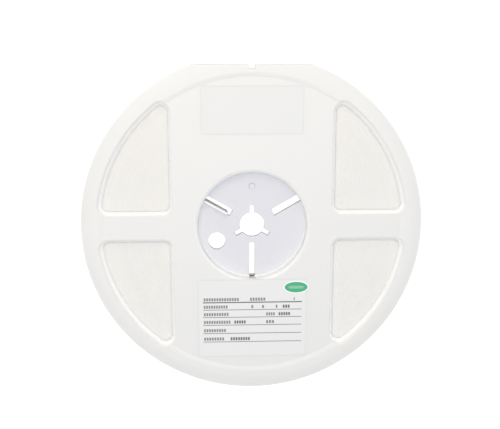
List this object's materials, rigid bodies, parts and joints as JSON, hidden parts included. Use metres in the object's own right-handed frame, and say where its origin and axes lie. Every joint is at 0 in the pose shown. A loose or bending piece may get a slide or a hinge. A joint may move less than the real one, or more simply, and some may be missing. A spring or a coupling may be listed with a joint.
{
  "type": "smd tape reel",
  "caption": "Flanged white plastic reel with window openings, a keyed arbor hole and hub slots, wound with punched paper carrier tape and carrying paper labels.",
  "frame": {"origin": "centre of the arbor hole at mid-width, where the two shells' hub floors meet", "axes": "+Z along the arbor hole out of the labelled flange, +Y to the flat edge of the flanges"},
  "size_m": [0.178, 0.1723, 0.0142],
  "materials": {
    "shell": "white thermoformed polystyrene with a soft satin sheen",
    "tape": "cream uncoated paper board",
    "cover_film": "clear polyester film",
    "tab_film": "translucent adhesive tape",
    "printed_paper": "white label paper with grey printed rules",
    "blank_paper": "plain white label paper",
    "sticker": "green print on white label paper"
  },
  "bodies": {
    "root": {"front_shell": "shell", "rear_shell": "shell", "paper_tape": "tape", "cover_tape": "cover_film", "end_tab": "tab_film", "printed_label": "printed_paper", "blank_label": "blank_paper", "oval_sticker": "sticker"}
  },
  "joints": []
}
